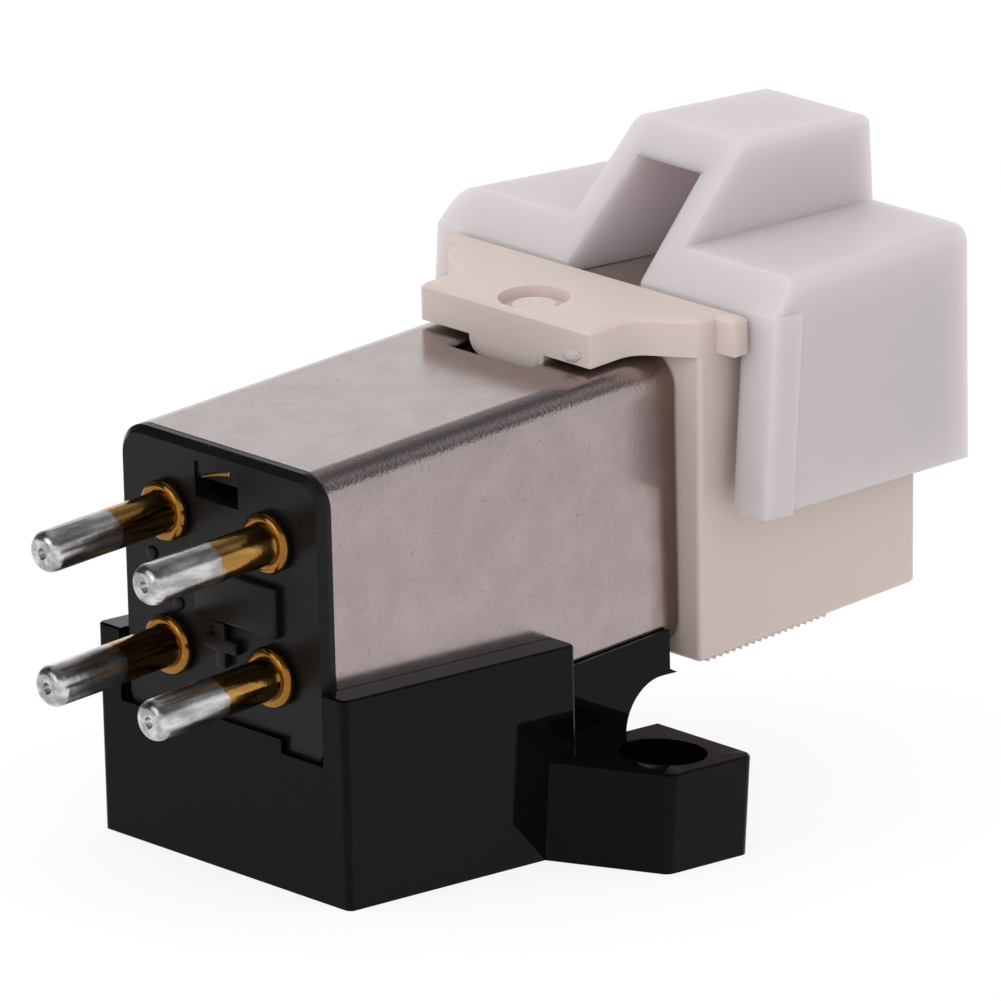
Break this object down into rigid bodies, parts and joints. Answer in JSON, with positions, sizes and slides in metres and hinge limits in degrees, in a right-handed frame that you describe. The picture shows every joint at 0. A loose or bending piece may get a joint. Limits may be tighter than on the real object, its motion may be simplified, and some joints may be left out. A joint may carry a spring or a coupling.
{
  "type": "turntable stylus cartridge",
  "caption": "Moving-magnet turntable cartridge with a half-inch ear mount, a metal shield can, rear terminal pins, a pull-out stylus and a clip-on stylus guard.",
  "frame": {"origin": "midway between the two screw holes, on the mounting face", "axes": "+X across, +Y towards the stylus, +Z from the mounting face to the side that faces the record"},
  "size_m": [0.0162, 0.0296, 0.019],
  "materials": {
    "black_moulding": "glossy moulded black",
    "satin_black_moulding": "satin moulded black",
    "brass_strip": "bare brass",
    "plated_pin": "gold plated, outer ends tinned",
    "nickel_can": "satin nickel plate with fine pits",
    "bobbin_moulding": "natural moulded",
    "copper_winding": "enamelled copper wire",
    "pole_alloy": "stacked thin laminations",
    "ivory_moulding": "satin moulded ivory",
    "damper_rubber": "soft black rubber",
    "cantilever_alloy": "drawn tube",
    "magnet_alloy": "ground magnet alloy",
    "diamond_tip": "polished diamond",
    "steel_wire": "drawn steel wire",
    "milky_moulding": "milky translucent moulded"
  },
  "bodies": {
    "generator": {"mounting_base": "black_moulding", "terminal_plate": "satin_black_moulding", "earth_strip": "brass_strip", "shield_can": "nickel_can", "coil_bobbin_left": "bobbin_moulding", "coil_bobbin_right": "bobbin_moulding", "coil_left": "copper_winding", "coil_right": "copper_winding", "pole_piece_left": "pole_alloy", "pole_piece_right": "pole_alloy", "coil_leads": "copper_winding", "terminal_pin_lower_left": "plated_pin", "terminal_pin_lower_right": "plated_pin", "terminal_pin_upper_left": "plated_pin", "terminal_pin_upper_right": "plated_pin"},
    "stylus": {"stylus_holder": "ivory_moulding", "suspension_sleeve": "brass_strip", "tie_wire": "steel_wire"},
    "damper": {"damper_ring": "damper_rubber"},
    "arm": {"cantilever": "cantilever_alloy", "magnet_saddle": "satin_black_moulding", "magnet_left": "magnet_alloy", "magnet_right": "magnet_alloy", "stylus_tip": "diamond_tip"},
    "guard": {"stylus_guard": "milky_moulding"}
  },
  "joints": [
    {"name": "stylus_slide", "type": "slide", "parent": "generator", "child": "stylus", "axis": [0, 0.9956, 0.0936], "range_m": [0, 0.008]},
    {"name": "guard_slide", "type": "slide", "parent": "stylus", "child": "guard", "axis": [0, 0.9956, 0.0936], "range_m": [0, 0.01]},
    {"name": "damper_tilt", "type": "hinge", "parent": "stylus", "child": "damper", "pos_m": [0, 0.00266, 0.01286], "axis": [1, 0, 0], "range_deg": [-4, 2], "stiffness_Nm_per_rad": 0.0145},
    {"name": "cantilever_swing", "type": "hinge", "parent": "damper", "child": "arm", "pos_m": [0, 0.00266, 0.01286], "axis": [0, -0.4869, 0.8734], "range_deg": [-3, 3], "stiffness_Nm_per_rad": 0.0145}
  ]
}
